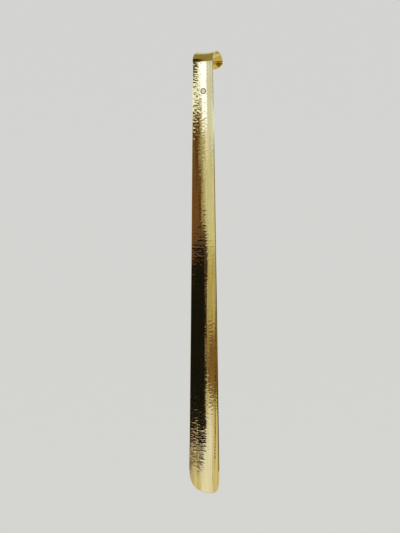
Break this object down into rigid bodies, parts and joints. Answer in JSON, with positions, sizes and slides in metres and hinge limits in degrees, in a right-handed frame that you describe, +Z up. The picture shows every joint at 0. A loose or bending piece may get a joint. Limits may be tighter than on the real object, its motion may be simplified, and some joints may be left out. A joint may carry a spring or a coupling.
{
  "type": "long shoehorn",
  "caption": "Long one-piece metal shoehorn: tapered trough-section blade with a rounded tongue, a bent-over hanging hook and a small eyelet-lined hanging hole.",
  "frame": {"origin": "seat of the hook: the top of the inside of the bend, where a rod touches when the shoehorn hangs", "axes": "+Z up along the shaft, with the tongue at the lower end; the trough opens towards -Y; the hook bends back over +Y; X across the strip"},
  "size_m": [0.0402, 0.0318, 0.5012],
  "materials": {
    "hammered_brass": "polished, with a fine hammered surface",
    "eyelet_brass": "polished"
  },
  "bodies": {
    "root": {"blade": "hammered_brass", "eyelet": "eyelet_brass"}
  },
  "joints": []
}
